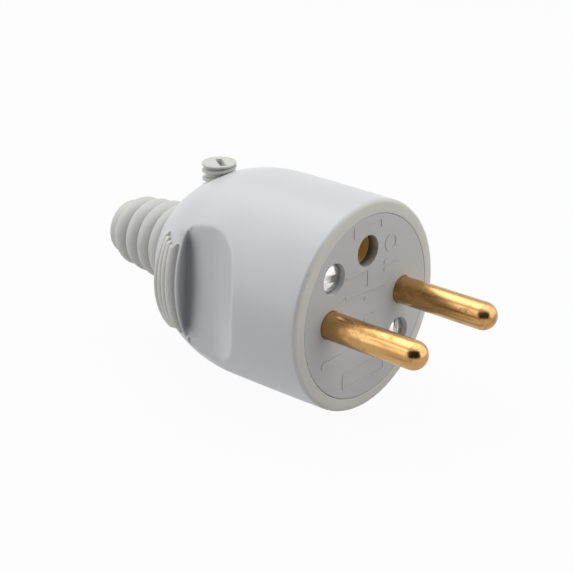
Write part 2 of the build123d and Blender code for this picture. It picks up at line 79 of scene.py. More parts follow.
# Housing
wall = 2.2
belly_swell = 0.2
belly_depth = 21.0
face_r = belly_r - belly_swell
bulkhead_depth = 38.5
neck_lip = 0.6
neck_r = 7.6
neck_round = 0.22
neck_profile_end = housing_length - 1.0
first_dome_row = housing_length - 1.3
bore_r = carrier_r + 0.01
bore_depth = 9.0
bore_edge_round = 0.16
bore_shift = 0.09
bore_shift_turn = 135.0
tight_side_share = 0.15
open_side_gain = 0.7
rim_round = 0.75
rim_matte_share = 0.45
rim_profile_end = 1.1
front_rows_end = 1.2
sleeve_flange_gap = 0.15
dome_run = housing_length - belly_depth
dome_drop = belly_r - neck_r - neck_lip
dome_arc_r = (dome_run**2 + dome_drop**2) / (2 * dome_drop)
front_arc_r = (belly_depth**2 + belly_swell**2) / (2 * belly_swell)
inside_depths = (12.0, 15.0, *range(18, 38, 2), bulkhead_depth)
tolerance = 0.001

# Rows and columns of the housing's surface
around_count = 420
dome_rows = 14
rib_rows = 86
wall_rows = 22
scoop_flat_rows = 8
scoop_sweep_rows = 34
front_rows = 10
side_sector = 48.0
rib_end_sector = (22.0, 36.0)
plain_density = 0.8
side_density = 1.6
rib_end_density = 1.2
degree_steps = 20

# Rows and columns of the smaller pieces
sleeve_columns = 192
sleeve_ring_rows = 20
clamp_columns = 144
clamp_thread_rows = 170
clamp_hole_columns = 96
pin_columns = 128
drill_columns = 48
face_screw_columns = 96
face_thread_rows = 96

# Finger scoops
scoop_half_width = 14.4
scoop_lean = 0.07
least_lean_cos = 0.05
scoop_wall_depth = 27.5
scoop_flat_length = 5.5
scoop_sweep_r = 10.5
scoop_edge_blend = 0.3
scoop_front_blend = 0.4
front_blend_run = 0.8 * scoop_sweep_r
floor_rows_gap = 0.75
beyond_body = 4 * belly_r
valley_round = 0.15
valley_round_limit = 0.45
rim_edge_round = 0.35
rim_edge_round_limit = 0.4
valley_share = 0.4
edge_share = 0.7
full_wall_drop = 0.5
wall_path_spread = 0.6
# Reach of the painted shade in the scoop's valley and on the wide rib's front flank
full_shade_drop = 1.2
valley_shade_width = 2.1
valley_shade_climb = 0.8
flank_shade = 0.55
flank_shade_gap = 0.1
flank_shade_fade = 0.5

# Ribbed ears behind the scoops
ear_reach = 16.8
lip_reach = 16.9
lip_arc_r = 22.5
lip_width = 0.7
lip_fade = 1.6
lip_blend = 0.6
lip_drop_run = 0.25
wide_foot_depth = 28.9
wide_crest_depth = 30.4
wide_groove = 1.0
wide_arc_r = 20.0
fine_groove_depths = (30.88, 31.83, 32.75, 33.67)
fine_groove = 0.3
fine_lobe_power = 0.35
last_arc_r = 14.0
last_crest_gap = 0.45
ear_back = 33.67
ear_rise_run = 0.2
ear_fade_run = 0.3
ear_matte = 0.7
ear_rows_back_gap = 0.4
ear_rows_front_gap = 0.02
rib_half_heights = (7.8, 8.25, 8.7, 9.25)
rib_end_round = 0.6

# Bend sleeve
sleeve_bore_r = 4.1
sleeve_collar_r = 7.55
sleeve_flange_round = 0.15
sleeve_collar_round = 0.1
sleeve_collar_gap = 0.4
ring_count = 4
ring_pitch = 3.4
first_ring_depth = 43.6
first_ring_r = 7.7
last_ring_r = 6.5
ring_height = 0.95
ring_lobe_power = 0.7
end_ring_r = 5.2
end_ring_step = 0.1
end_ring_step_round = 0.04
end_ring_shoulder = 0.5
end_ring_shoulder_round = 0.3
end_ring_round = 0.62
sleeve_mouth_round = 0.3
sleeve_bore_start = 1.0

# Clamp screw
clamp_root_r = 2.2
clamp_pitch = 1.45
clamp_head_thick = 0.42
clamp_tip_height = 0.3
clamp_tip_narrowing = 0.35
clamp_tip_round = 0.2
clamp_tip_pole_r = 0.4
ridge_width = 1.55
ridge_steepness = 4.4
thread_start = 0.57
lead_in_run = 1.2
run_out_run = 0.18
head_foot_gap = 0.02
head_foot_rise = 0.04
head_foot_round = 0.1
head_top_round = 0.14
head_rim_width = 0.5
clamp_hole_r = clamp_crest_r + 0.05
clamp_hole_cut = (9.0, 19.5)
clamp_boss_r = clamp_hole_r + 1.9
clamp_boss_foot = 9.2
boss_below_dome = 0.5
slot_length = 3.8
slot_width = 1.1
slot_depth = 1.6
slot_turn = 58.0
slot_shift = -0.45
slot_waist = 0.93
slot_corner_power = 14.0
slot_edge_width = 0.06
first_top_share = 0.15

# Face screws
face_slot_width = 1.2
face_slot_depth = 0.75
face_head_thick = 2.0
face_head_crown = 0.4
face_head_round = 0.75
crown_pole_share = 0.1
upper_slot_turn = -12.0
lower_slot_turn = 75.0
shank_r = 1.5
shank_tip_r = 0.5
thread_pitch = 0.7
thread_height = 0.14
thread_head_gap = 0.2
thread_tip_gap = 0.6
slot_cutter_overrun = 0.5
slot_cutter_top = 1.0
slot_edge_bevel = 0.09
slot_edge_segments = 2
slot_edge_angle = 50.0

# Pins
pin_r = 2.4
pin_neck_r = 2.2
pin_seat_r = 2.7
pin_seat_sink = 0.6
pin_seat_round = 0.05
carrier_plate = 4.0
flange_r = 4.0
flange_back = 5.5
flange_round = 0.1
barrel_r = 3.4
barrel_root_round = 0.05
barrel_end_round = 0.3
wire_hole_r = 1.6
wire_hole_depth = 6.0
wire_hole_mouth_round = 0.15
wire_hole_end_round = 0.1
wire_hole_pole_r = 0.3
terminal_screw_hole_r = 1.53
terminal_screw_back = 3.8
terminal_drill_length = 5.0

# Earth hole
earth_height = 10.0
earth_recess_r = 2.75
# Depths behind the face over which the painted shade on the earth recess's wall deepens
recess_shade_start = 0.2
recess_shade_end = 1.8


# Small formulas
def soft_min(first, second, width):
    """The lower of two values, with the corner between them rounded over a width."""
    share = np.clip(0.5 + 0.5 * (second - first) / width, 0, 1)
    return second * (1 - share) + first * share - width * share * (1 - share)


def smooth_step(t):
    """0 below t = 0, 1 above t = 1, with an S-shaped rise between."""
    t = np.clip(t, 0, 1)
    return t * t * (3 - 2 * t)


def span(start, end, count, last=False):
    """Evenly spaced values from start to end, without the last one unless asked for."""
    return np.linspace(start, end, count, endpoint=last)


def off_axis_arc(reach, arc_r, side_cos, sine):
    """Radius from the plug's axis of an arc of radius arc_r that reaches out to reach at mid-height."""
    shift = reach - arc_r
    return shift * side_cos + np.sqrt(np.maximum(arc_r**2 - (shift * sine) ** 2, 0))


def rounded_profile(corners, steps=6):
    """Line of r, depth points with each corner rounded by its own radius: a tangent arc in equal steps."""
    points = []
    count = len(corners)
    for i, (r, along, radius) in enumerate(corners):
        here = np.array([r, along])
        if radius == 0 or i in (0, count - 1):
            points.append(here)
            continue
        before = np.array(corners[i - 1][:2]) - here
        after = np.array(corners[i + 1][:2]) - here
        before /= np.linalg.norm(before)
        after /= np.linalg.norm(after)
        half = math.acos(np.clip(before @ after, -1, 1)) / 2
        centre = here + (before + after) / np.linalg.norm(before + after) * radius / math.sin(half)
        start = here + before * radius / math.tan(half) - centre
        end = here + after * radius / math.tan(half) - centre
        turn = math.acos(np.clip(start @ end / radius**2, -1, 1))
        for share in span(0, 1, steps, last=True):
            mix = math.sin((1 - share) * turn) * start + math.sin(share * turn) * end
            points.append(centre + mix / math.sin(turn))
    return np.array(points)


def rings_along_y(profile, x, z, count):
    """Rings of a profile of r, depth points turned about the line along Y through x, z."""
    angle = span(0, 2 * math.pi, count)
    r, depth = profile[:, :1], profile[:, 1:]
    return np.stack([x + r * np.cos(angle), depth + 0 * angle, z + r * np.sin(angle)], -1)


def rings_along_z(profile, x, y, count):
    """Rings of a profile of r, height points turned about the line along Z through x, y."""
    angle = span(0, 2 * math.pi, count)
    r, height = profile[:, :1], profile[:, 1:]
    return np.stack([x + r * np.cos(angle), y + r * np.sin(angle), height + 0 * angle], -1)


# Mesh making
def lattice(rings, closed_path=False, first_pole=None, last_pole=None):
    """Faces over rings[i, j]: quads join each ring to the next, and triangles close to a pole point."""
    rows, columns = rings.shape[:2]
    index = np.arange(rows * columns).reshape(rows, columns)
    if closed_path:
        index = np.vstack([index, index[:1]])
    here, beside = index, np.roll(index, -1, axis=1)
    quads = np.stack([here[:-1], beside[:-1], beside[1:], here[1:]], -1).reshape(-1, 4)
    points = [rings.reshape(-1, 3)]
    triangles = []
    for pole, row, flip in ((first_pole, 0, True), (last_pole, rows - 1, False)):
        if pole is None:
            continue
        tip = np.full(columns, sum(len(p) for p in points))
        points.append(np.array([pole], float))
        fan = np.stack([here[row], beside[row], tip], -1)
        triangles.append(fan[:, ::-1] if flip else fan)
    triangles = np.concatenate(triangles) if triangles else np.empty((0, 3), int)
    return np.concatenate(points), quads, triangles


def turned_outwards(shell):
    """The shell with its faces reversed if the signed volume under them is negative."""
    points, quads, triangles = shell
    corners = np.concatenate([quads[:, [0, 1, 2]], quads[:, [0, 2, 3]], triangles])
    a, b, c = (points[corners[:, i]] for i in range(3))
    if np.einsum("ij,ij->", a, np.cross(b, c)) < 0:
        return points, quads[:, ::-1], triangles[:, ::-1]
    return shell


def make_mesh(name, shell, sharp_angle=35.0):
    """Mesh object of a closed shell given in millimetres, shaded smooth below an angle in degrees."""
    points, quads, triangles = turned_outwards(shell)
    loops = np.concatenate([quads.ravel(), triangles.ravel()]).astype(np.int32)
    sizes = np.concatenate([np.full(len(quads), 4), np.full(len(triangles), 3)])
    starts = np.concatenate([[0], np.cumsum(sizes)[:-1]]).astype(np.int32)
    mesh = bpy.data.meshes.new(name)
    mesh.vertices.add(len(points))
    mesh.vertices.foreach_set("co", (points * MM).astype(np.float32).ravel())
    mesh.loops.add(len(loops))
    mesh.loops.foreach_set("vertex_index", loops)
    mesh.polygons.add(len(sizes))
    mesh.polygons.foreach_set("loop_start", starts)
    mesh.update(calc_edges=True)
    mesh.validate()
    mesh.shade_smooth()
    mesh.set_sharp_from_angle(angle=math.radians(sharp_angle))
    obj = bpy.data.objects.new(name, mesh)
    bpy.context.scene.collection.objects.link(obj)
    return obj


def settle(obj, sharp_angle=35.0):
    """Applies a piece's modifiers and shades it again."""
    graph = bpy.context.evaluated_depsgraph_get()
    mesh = bpy.data.meshes.new_from_object(obj.evaluated_get(graph))
    obj.modifiers.clear()
    old = obj.data
    obj.data = mesh
    mesh.name = obj.name
    bpy.data.meshes.remove(old)
    mesh.shade_smooth()
    mesh.set_sharp_from_angle(angle=math.radians(sharp_angle))


def cut_away(obj, cutter):
    """Takes a closed cutter shape away from a piece, then removes the cutter."""
    change = obj.modifiers.new("cut", "BOOLEAN")
    change.operation = "DIFFERENCE"
    change.solver = "EXACT"
    change.object = cutter
    settle(obj)
    bpy.data.objects.remove(cutter, do_unlink=True)


def make_drill(name, r, x, y, heights, columns):
    """Closed rod along Z between two heights, to cut a hole with."""
    profile = np.array([[r, height] for height in heights])
    first_pole, last_pole = ((x, y, height) for height in heights)
    rings = rings_along_z(profile, x, y, columns)
    return make_mesh(name, lattice(rings, first_pole=first_pole, last_pole=last_pole))


def dress(obj, material, node, body="plug_body"):
    """Gives a piece its material and body, and hides the CAD node it stands for."""
    obj.data.materials.clear()
    obj.data.materials.append(material)
    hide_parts(node)
    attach(obj, body)


# Node helpers
def feed(tree, socket, value):
    """Gives an input another socket's value, a colour of three numbers, or a number."""
    if isinstance(value, bpy.types.NodeSocket):
        tree.links.new(value, socket)
    elif isinstance(value, tuple):
        socket.default_value = (*value, 1)
    else:
        socket.default_value = value


def object_coordinates(tree):
    """Object coordinates, in metres."""
    return tree.nodes.new("ShaderNodeTexCoord").outputs["Object"]


def noise(tree, coords, scale, detail=3.0, rough=0.55, stretch=(1, 1, 1)):
    """Noise of a size and stretch over Object coordinates; gives back its value socket."""
    mapping = tree.nodes.new("ShaderNodeMapping")
    mapping.inputs["Scale"].default_value = stretch
    tree.links.new(coords, mapping.inputs["Vector"])
    texture = tree.nodes.new("ShaderNodeTexNoise")
    texture.inputs["Scale"].default_value = scale
    texture.inputs["Detail"].default_value = detail
    texture.inputs["Roughness"].default_value = rough
    tree.links.new(mapping.outputs["Vector"], texture.inputs["Vector"])
    return texture.outputs["Fac"]


def reshape(tree, value, low, high, to_low=0.0, to_high=1.0, blend="SMOOTHSTEP"):
    """Stretches a value from one range to another, clamped; smoothly unless another blend is named."""
    node = tree.nodes.new("ShaderNodeMapRange")
    node.interpolation_type = blend
    labels = ("Value", "From Min", "From Max", "To Min", "To Max")
    for label, given in zip(labels, (value, low, high, to_low, to_high)):
        feed(tree, node.inputs[label], given)
    return node.outputs["Result"]


def blend_colours(tree, share, first, second):
    """Mix of two colours, each a socket or three numbers, by a share socket."""
    node = tree.nodes.new("ShaderNodeMix")
    node.data_type = "RGBA"
    for label, value in (("Factor", share), ("A", first), ("B", second)):
        feed(tree, node.inputs[label], value)
    return node.outputs["Result"]


def combine(tree, operation, *values):
    """Maths on values, each a socket or a number."""
    node = tree.nodes.new("ShaderNodeMath")
    node.operation = operation
    for socket, value in zip(node.inputs, values):
        feed(tree, socket, value)
    return node.outputs[0]


def new_group(name, ins, outs):
    """Empty shader node group with named float or colour sockets."""
    group = bpy.data.node_groups.new(name, "ShaderNodeTree")
    for direction, sockets in (("INPUT", ins), ("OUTPUT", outs)):
        for label, kind in sockets:
            group.interface.new_socket(label, in_out=direction, socket_type=kind)
    return group, group.nodes.new("NodeGroupInput").outputs, group.nodes.new("NodeGroupOutput").inputs


def put_group(tree, group, **values):
    """Places a group with its own values; an underscore in a name stands for a space. Gives its outputs."""
    node = tree.nodes.new("ShaderNodeGroup")
    node.node_tree = group
    for label, value in values.items():
        feed(tree, node.inputs[label.replace("_", " ")], value)
    return node.outputs


FLOAT, COLOUR = "NodeSocketFloat", "NodeSocketColor"
surface_outputs = (("Colour", COLOUR), ("Roughness", FLOAT), ("Height", FLOAT))


def moulded_skin_group():
    """Moulded plastic skin: faint broad colour drift, scattered dust specks, gloss drift and fine grain."""
    group, given, result = new_group(
        "moulded_skin",
        (("Colour", COLOUR), ("Drift", FLOAT), ("Specks", FLOAT),
         ("Gloss low", FLOAT), ("Gloss high", FLOAT)),
        surface_outputs,
    )
    dust_colour = (0.34, 0.33, 0.3)
    coords = object_coordinates(group)
    broad = noise(group, coords, scale=95.0, detail=2.0)
    drift = combine(group, "MULTIPLY_ADD", broad, given["Drift"], 1.0)
    lowered = combine(group, "SUBTRACT", drift, combine(group, "MULTIPLY", given["Drift"], 0.5))
    shaded = group.nodes.new("ShaderNodeVectorMath")
    shaded.operation = "SCALE"
    group.links.new(given["Colour"], shaded.inputs["Vector"])
    group.links.new(lowered, shaded.inputs["Scale"])
    speck = reshape(group, noise(group, coords, scale=2600.0, detail=1.0), low=0.70, high=0.78)
    speck = combine(group, "MULTIPLY", speck, given["Specks"])
    feed(group, result["Colour"], blend_colours(group, speck, shaded.outputs["Vector"], dust_colour))
    wear = noise(group, coords, scale=330.0, detail=5.0, rough=0.6)
    gloss = reshape(group, wear, low=0.35, high=0.65, to_low=given["Gloss low"],
                    to_high=given["Gloss high"], blend="LINEAR")
    feed(group, result["Roughness"], gloss)
    feed(group, result["Height"], noise(group, coords, scale=4200.0, detail=4.0, rough=0.6))
    return group


def turned_metal_group():
    """Turned metal: tarnish patches, long streaks and pits stain the colour; fine rings across the axis,
    streaks and pits make the height."""
    group, given, result = new_group(
        "turned_metal",
        (("Bright", COLOUR), ("Tarnish", COLOUR), ("Patches", FLOAT)),
        surface_outputs,
    )
    coords = object_coordinates(group)
    patch = noise(group, coords, scale=420.0, detail=6.0, rough=0.65, stretch=(1, 0.45, 1))
    patch = reshape(group, patch, low=0.46, high=0.72)
    streak = noise(group, coords, scale=900.0, detail=4.0, stretch=(1, 0.06, 1))
    streak = reshape(group, streak, low=0.52, high=0.74)
    pit = reshape(group, noise(group, coords, scale=3300.0, detail=2.0), low=0.66, high=0.74)
    rings = noise(group, coords, scale=5200.0, detail=2.0, stretch=(0.03, 1, 0.03))

    def weighed(value, weight):
        return combine(group, "MULTIPLY", value, weight)

    stain = combine(group, "MAXIMUM", weighed(patch, 0.8), weighed(streak, 0.7))
    stain = weighed(combine(group, "MAXIMUM", stain, pit), given["Patches"])
    feed(group, result["Colour"], blend_colours(group, stain, given["Bright"], given["Tarnish"]))
    uneven = combine(group, "ADD", stain, weighed(rings, 0.5))
    feed(group, result["Roughness"], reshape(group, uneven, low=0.1, high=1.1, to_low=0.2, to_high=0.42))
    raised = combine(group, "ADD", weighed(rings, 0.6), weighed(streak, 0.4))
    feed(group, result["Height"], combine(group, "SUBTRACT", raised, pit))
    return group


moulded_skin = moulded_skin_group()
turned_metal = turned_metal_group()


# Materials
def new_material(name, metallic=0.0):
    """Empty material with one Principled BSDF; gives back the material, its node tree and the shader."""
    material = bpy.data.materials.new(name)
    material.use_nodes = True
    tree = material.node_tree
    shader = tree.nodes["Principled BSDF"]
    shader.inputs["Metallic"].default_value = metallic
    return material, tree, shader


def join_surface(tree, shader, colour, roughness, height, strength, height_mm):
    """Joins a colour, a roughness and a bump of a height in millimetres to the shader."""
    feed(tree, shader.inputs["Base Color"], colour)
    feed(tree, shader.inputs["Roughness"], roughness)
    bump = tree.nodes.new("ShaderNodeBump")
    bump.inputs["Strength"].default_value = strength
    bump.inputs["Distance"].default_value = height_mm * MM
    feed(tree, bump.inputs["Height"], height)
    feed(tree, shader.inputs["Normal"], bump.outputs["Normal"])


def mould(tree, shader, colour, gloss, drift, specks, grain, added_roughness=0.0):
    """Puts the moulded skin over a colour, with its own gloss range and grain."""
    skin = put_group(tree, moulded_skin, Colour=colour, Drift=drift, Specks=specks,
                     Gloss_low=gloss[0], Gloss_high=gloss[1])
    roughness = combine(tree, "ADD", skin["Roughness"], added_roughness)
    join_surface(tree, shader, skin["Colour"], roughness, skin["Height"], grain, height_mm=0.03)


def moulded_plastic(name, colour, gloss, drift, specks, grain):
    """Moulded plastic in one colour."""
    material, tree, shader = new_material(name)
    mould(tree, shader, colour, gloss, drift, specks, grain)
    return material


def carrier_plastic():
    """Mid grey moulded plastic, with painted shade on the wall of the recess ahead of the earth contact."""
    material, tree, shader = new_material("carrier_plastic")
    mid_grey, recess_shade_colour = (0.585, 0.585, 0.575), (0.035, 0.028, 0.02)
    place = tree.nodes.new("ShaderNodeSeparateXYZ")
    tree.links.new(object_coordinates(tree), place.inputs["Vector"])
    x, depth, height = place.outputs
    above = combine(tree, "SUBTRACT", height, earth_height * MM)
    across = combine(tree, "ADD", combine(tree, "MULTIPLY", x, x), combine(tree, "MULTIPLY", above, above))
    inside = combine(tree, "LESS_THAN", across, (earth_recess_r * MM) ** 2)
    # Painted shade: the recess wall darkens the deeper it lies behind the face.
    deeper = reshape(tree, depth, recess_shade_start * MM, recess_shade_end * MM, to_low=0.25, to_high=0.85)
    colour = blend_colours(tree, combine(tree, "MULTIPLY", inside, deeper), mid_grey, recess_shade_colour)
    mould(tree, shader, colour, gloss=(0.42, 0.55), drift=0.08, specks=0.4, grain=0.35)
    return material


def mask_attribute(tree, label):
    """A piece's own mask, read by its label."""
    node = tree.nodes.new("ShaderNodeAttribute")
    node.attribute_name = label
    return node.outputs["Fac"]


def housing_plastic():
    """Cool light grey, soft gloss; warmer and matter where the piece's own matte mask is 1, and darkened
    with painted shade where its shade mask is 1."""
    material, tree, shader = new_material("housing_plastic")
    cool_grey, warm_grey, shade_colour = (0.63, 0.635, 0.65), (0.71, 0.70, 0.65), (0.13, 0.145, 0.17)
    full_shade, full_matte = 0.66, 0.25
    matte, shade = mask_attribute(tree, "matte"), mask_attribute(tree, "shade")
    plain = blend_colours(tree, matte, cool_grey, warm_grey)
    # Painted shade: the shade mask darkens the colour towards shade_colour in the scoop's valley and on the
    # wide rib's front flank.
    colour = blend_colours(tree, combine(tree, "MULTIPLY", shade, full_shade), plain, shade_colour)
    mould(tree, shader, colour, gloss=(0.3, 0.4), drift=0.05, specks=0.12, grain=0.15,
          added_roughness=combine(tree, "MULTIPLY", matte, full_matte))
    return material


def metal(name, bright, tarnish, patches, bump, metallic=1.0):
    """Turned or plated metal from the shared group."""
    material, tree, shader = new_material(name, metallic)
    finish = put_group(tree, turned_metal, Bright=bright, Tarnish=tarnish, Patches=patches)
    join_surface(tree, shader, finish["Colour"], finish["Roughness"], finish["Height"], bump, height_mm=0.02)
    return material


pale_grey = (0.60, 0.60, 0.575)
grey_housing = housing_plastic()
grey_carrier = carrier_plastic()
pale_clamp = moulded_plastic("clamp_plastic", pale_grey,
                             gloss=(0.35, 0.48), drift=0.06, specks=0.2, grain=0.2)
soft_sleeve = moulded_plastic("sleeve_rubber", pale_grey,
                              gloss=(0.5, 0.62), drift=0.08, specks=0.25, grain=0.35)
worn_brass = metal("contact_brass", bright=(0.54, 0.315, 0.125), tarnish=(0.2, 0.095, 0.03),
                   patches=0.75, bump=0.35)
lining_brass = metal("lining_brass", bright=(1.0, 0.7, 0.26), tarnish=(0.8, 0.45, 0.12),
                     patches=0.5, bump=0.3, metallic=0.1)
zinc_plate = metal("plated_steel", bright=(0.82, 0.82, 0.81), tarnish=(0.3, 0.3, 0.3), patches=0.35, bump=0.2)


# Housing surface
def outline_radius(depth):
    """Radius of the turned body: a shallow front arc up to the belly, then the dome's arc."""
    back = belly_r - dome_arc_r + np.sqrt(np.maximum(dome_arc_r**2 - (depth - belly_depth) ** 2, 0))
    front = belly_r - front_arc_r + np.sqrt(front_arc_r**2 - (belly_depth - depth) ** 2)
    return np.where(depth < belly_depth, front, back)


def scoop_half(depth, inset=0.0):
    """Half-width between the scoop floors: flat behind, sweeping out along a quarter arc in front."""
    before = np.maximum(scoop_wall_depth - scoop_flat_length - depth, 0)
    sweep_r = scoop_sweep_r + inset
    rise = sweep_r - np.sqrt(np.maximum(sweep_r**2 - before**2, 0))
    return np.where(before < sweep_r, scoop_half_width - inset + rise, beyond_body)


def leaning_floor(depth, side_cos, sine, inset=0.0):
    """Radius of the leaning scoop floor: its half-width over side_cos plus the lean times the sine."""
    return scoop_half(depth, inset) / np.maximum(side_cos + scoop_lean * sine, least_lean_cos)


def ear_profile(depth):
    """Reach of the ear along its depth. Behind the lip a groove, then a circular arc that rises to the wide
    rib's crest; the fine ribs behind it are round lobes, a low power of a sine from groove to groove."""
    run = wide_crest_depth - wide_foot_depth
    arc_r = (run**2 + wide_groove**2) / (2 * wide_groove)
    before = np.clip(wide_crest_depth - depth, 0, run)
    reach = ear_reach - arc_r + np.sqrt(arc_r**2 - before**2)
    grooves = fine_groove_depths
    lobes = ((2 * wide_crest_depth - grooves[0], grooves[0]),) + tuple(zip(grooves, grooves[1:]))
    for start, end in lobes:
        phase = np.clip((depth - start) / (end - start), 0, 1)
        dip = fine_groove * (1 - np.sin(phase * math.pi) ** fine_lobe_power)
        inside = (depth > max(start, wide_crest_depth)) & (depth <= end)
        reach = np.where(inside, ear_reach - dip, reach)
    fall = smooth_step((depth - scoop_wall_depth - lip_width) / lip_drop_run)
    return lip_reach + (reach - lip_reach) * fall


def back_radius(depth, side_cos, sine):
    """Outer radius behind the scoop wall, and how far the ribbed ear takes part in it. The dome is
    trimmed to the lip's arc at the wall; the ear's arcs stand on it, with quarter-round ends."""
    dome = outline_radius(depth)
    past_lip = depth - scoop_wall_depth - lip_width
    lip = off_axis_arc(lip_reach, lip_arc_r, side_cos, sine)
    base = dome + (soft_min(dome, lip, lip_blend) - dome) * (1 - smooth_step(past_lip / lip_fade))
    share = np.clip((depth - wide_crest_depth) / (ear_back - last_crest_gap - wide_crest_depth), 0, 1)
    arc_r = wide_arc_r + share * (last_arc_r - wide_arc_r)
    rib = min(int(np.searchsorted(fine_groove_depths, depth)), len(rib_half_heights) - 1)
    ear = off_axis_arc(ear_profile(depth), arc_r, side_cos, sine)
    past_end = ear * np.abs(sine) - rib_half_heights[rib] + rib_end_round
    past_end = np.clip(past_end / rib_end_round, 0, 1)
    fade = np.sqrt(1 - past_end**2) * (1 - smooth_step((depth - ear_back + ear_fade_run) / ear_fade_run))
    fade = fade * smooth_step(past_lip / ear_rise_run)
    return base + (ear - base) * fade, fade


def floor_radius(depth, side_cos, sine):
    """Outer radius ahead of the scoop wall: the body, cut down to the leaning floors with a soft edge."""
    front = smooth_step((scoop_wall_depth - scoop_flat_length - depth) / front_blend_run)
    blend = scoop_edge_blend + (scoop_front_blend - scoop_edge_blend) * front
    return soft_min(outline_radius(depth), leaning_floor(depth, side_cos, sine), blend)


def wall_ends(side_cos, sine):
    """Radius at the foot and at the top of the scoop's rear wall, for every angle."""
    foot = floor_radius(scoop_wall_depth, side_cos, sine)
    top = back_radius(scoop_wall_depth, side_cos, sine)[0]
    return foot, top


def scoop_wall_rows(side_cos, sine):
    """Path up the scoop's rear wall for every angle: valley arc, wall, edge arc. Where there is no scoop
    the path is spread along the dome instead. Gives depths and radii."""
    foot, top = wall_ends(side_cos, sine)
    drop = np.maximum(top - foot, 0)
    share = smooth_step(drop / full_wall_drop)
    spread = wall_path_spread * (1 - share)
    valley = np.minimum(valley_round, valley_round_limit * drop)
    edge = np.minimum(rim_edge_round, rim_edge_round_limit * drop)
    rows = []
    for along in span(0, 1, wall_rows, last=True):
        plain_depth = scoop_wall_depth + spread * (2 * along - 1)
        plain = outline_radius(plain_depth)
        if along < valley_share:
            turn = along / valley_share * math.pi / 2
            depth = scoop_wall_depth - valley_round * (1 - math.sin(turn))
            level = foot + valley * (1 - math.cos(turn))
        elif along < edge_share:
            depth = scoop_wall_depth
            climb = (along - valley_share) / (edge_share - valley_share)
            level = foot + valley + climb * (drop - valley - edge)
        else:
            turn = (along - edge_share) / (1 - edge_share) * math.pi / 2
            depth = scoop_wall_depth + rim_edge_round * (1 - math.cos(turn))
            level = foot + drop - edge + edge * math.sin(turn)
        rows.append((plain_depth + (depth - plain_depth) * share, plain + (level - plain) * share))
    return rows


def angles_round():
    """Angles round the axis, packed closer at the two sides and closest where the ribs end."""
    steps = 360 * degree_steps
    fine = span(0, 360, steps)
    from_side = np.minimum(fine % 180, 180 - fine % 180)
    density = np.where(from_side < side_sector, side_density, plain_density)
    near_rib_ends = (from_side > rib_end_sector[0]) & (from_side < rib_end_sector[1])
    density = density + rib_end_density * near_rib_ends
    total = np.concatenate([[0], np.cumsum(density)])
    places = span(0, total[-1], around_count)
    return np.radians(np.interp(places, total, span(0, 360, steps + 1, last=True)))


def outside_rows(side_cos, sine):
    """Rows of depth, radius and matte mask over the outside, from the neck forwards to the rim."""
    ones, none = np.ones_like(sine), np.zeros_like(sine)
    neck = rounded_profile([
        (neck_r, bulkhead_depth, 0),
        (neck_r, housing_length, neck_round),
        (neck_r + neck_lip, housing_length, neck_round),
        (outline_radius(neck_profile_end), neck_profile_end, 0),
    ], steps=5)
    rows = [(depth * ones, r * ones, none) for r, depth in neck]
    ribs_end = ear_back + ear_rows_back_gap
    ribs_start = scoop_wall_depth + wall_path_spread + ear_rows_front_gap
    dome_depths = span(first_dome_row, ribs_end, dome_rows)
    for depth in np.concatenate([dome_depths, span(ribs_end, ribs_start, rib_rows)]):
        radius, share = back_radius(depth, side_cos, sine)
        rows.append((depth * ones, radius, ear_matte * share))
    for depth, radius in reversed(scoop_wall_rows(side_cos, sine)):
        rows.append((depth * ones, radius, none))
    flat_end = scoop_wall_depth - scoop_flat_length
    sweep_end = flat_end - scoop_sweep_r
    flat_depths = span(scoop_wall_depth - floor_rows_gap, flat_end, scoop_flat_rows)
    for depth in np.concatenate([flat_depths, span(flat_end, sweep_end, scoop_sweep_rows)]):
        rows.append((depth * ones, floor_radius(depth, side_cos, sine), none))
    for depth in span(sweep_end, front_rows_end, front_rows):
        rows.append((depth * ones, outline_radius(depth) * ones, none))
    return rows


def rim_rows(angle):
    """Rows of depth, radius and matte mask over the rim and into the bore. The bore's line is pushed out by
    one less the cosine of the angle from its tight side, where its edge is rounded least."""
    rim = rounded_profile([
        (outline_radius(rim_profile_end), rim_profile_end, 0),
        (face_r, 0, rim_round),
        (bore_r, 0, bore_edge_round),
        (bore_r, bore_depth, 0),
    ], steps=7)
    opening = bore_shift * (1 - np.cos(angle - math.radians(bore_shift_turn)))
    rounding = np.minimum(tight_side_share + opening / bore_shift * open_side_gain, 1)
    rows = []
    for r, depth in rim:
        past_edge = float(r < bore_r + bore_edge_round + tolerance)
        on_edge = float(past_edge and depth < bore_edge_round + tolerance)
        size = 1 - on_edge * (1 - rounding)
        radius = bore_r + (r - bore_r) * size + opening * past_edge
        flat_front = float(depth < rim_matte_share * rim_round)
        rows.append((depth * size, radius, flat_front + 0 * angle))
    return rows


def inside_rows(side_cos, sine):
    """Rows of depth, radius and matte mask inside, back to the bulkhead: a wall's thickness under the dome
    and the scoop floors, but no wider than the bore."""
    rows = []
    for depth in inside_depths:
        dome = belly_r - dome_arc_r + math.sqrt((dome_arc_r - wall) ** 2 - max(depth - belly_depth, 0) ** 2)
        level = max(min(bore_r, dome), sleeve_flange_r + sleeve_flange_gap)
        inner = np.minimum(level, leaning_floor(depth, side_cos, sine, wall))
        rows.append((np.full_like(sine, depth), inner, np.zeros_like(sine)))
    return rows


def housing_shade(depths, radii, side_cos, sine):
    """Mask of painted shade in the scoop's corner and on the wide rib's front flank: it falls off as a bell
    curve from the scoop's valley, and fills the groove and the rising flank between the lip and the wide
    rib's crest."""
    foot, top = wall_ends(side_cos, sine)
    away = np.abs(depths - scoop_wall_depth) + valley_shade_climb * np.maximum(radii - foot, 0)
    valley = smooth_step((top - foot) / full_shade_drop) * np.exp(-((away / valley_shade_width) ** 2))
    flank = (wide_crest_depth - flank_shade_gap - depths) / (wide_crest_depth - wide_foot_depth)
    near_side = smooth_step((rib_half_heights[0] - np.abs(radii * sine)) / flank_shade_fade)
    past_lip = smooth_step((depths - scoop_wall_depth - lip_width) / lip_drop_run)
    return np.maximum(valley, flank_shade * smooth_step(flank) * past_lip * near_side)


